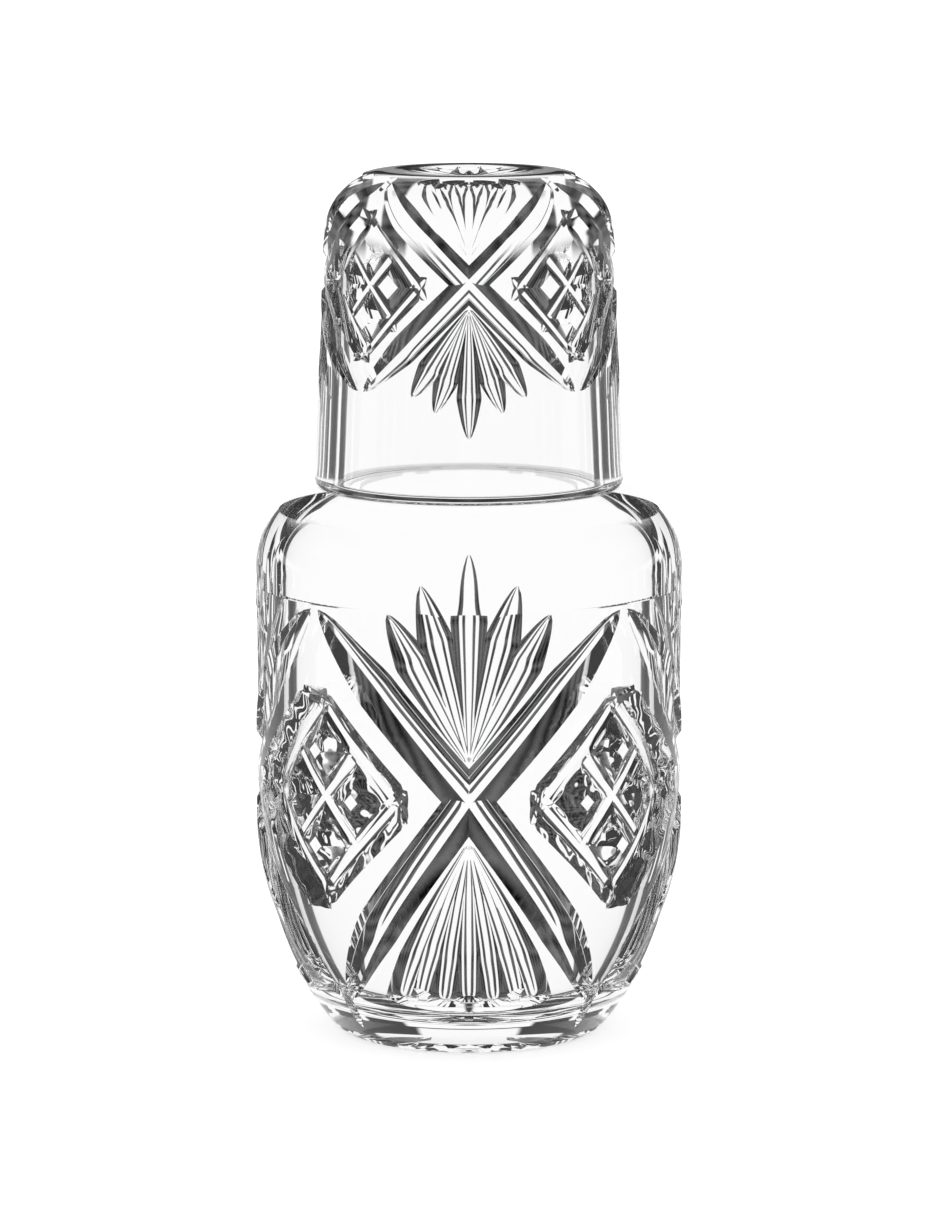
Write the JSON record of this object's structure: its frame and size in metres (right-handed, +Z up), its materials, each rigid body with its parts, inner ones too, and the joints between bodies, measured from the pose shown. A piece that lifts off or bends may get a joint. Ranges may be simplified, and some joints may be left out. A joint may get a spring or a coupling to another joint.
{
  "type": "bedside carafe with tumbler",
  "caption": "Cut-glass bedside water carafe with a matching tumbler that stands upside down over the neck as its cover and lifts off to drink from.",
  "frame": {"origin": "centre of the carafe's foot, on the surface that it stands on", "axes": "+Z up along the axis of both vessels; one crossing of the cut design faces -Y and one +X"},
  "size_m": [0.1, 0.1, 0.203],
  "materials": {
    "clear_glass": "polished, colourless, mitre-cut"
  },
  "bodies": {
    "carafe": {"carafe": "clear_glass"},
    "tumbler": {"tumbler": "clear_glass"}
  },
  "joints": [
    {"name": "tumbler_lift", "type": "slide", "parent": "carafe", "child": "tumbler", "axis": [0, 0, 1], "range_m": [0, 0.08]}
  ]
}
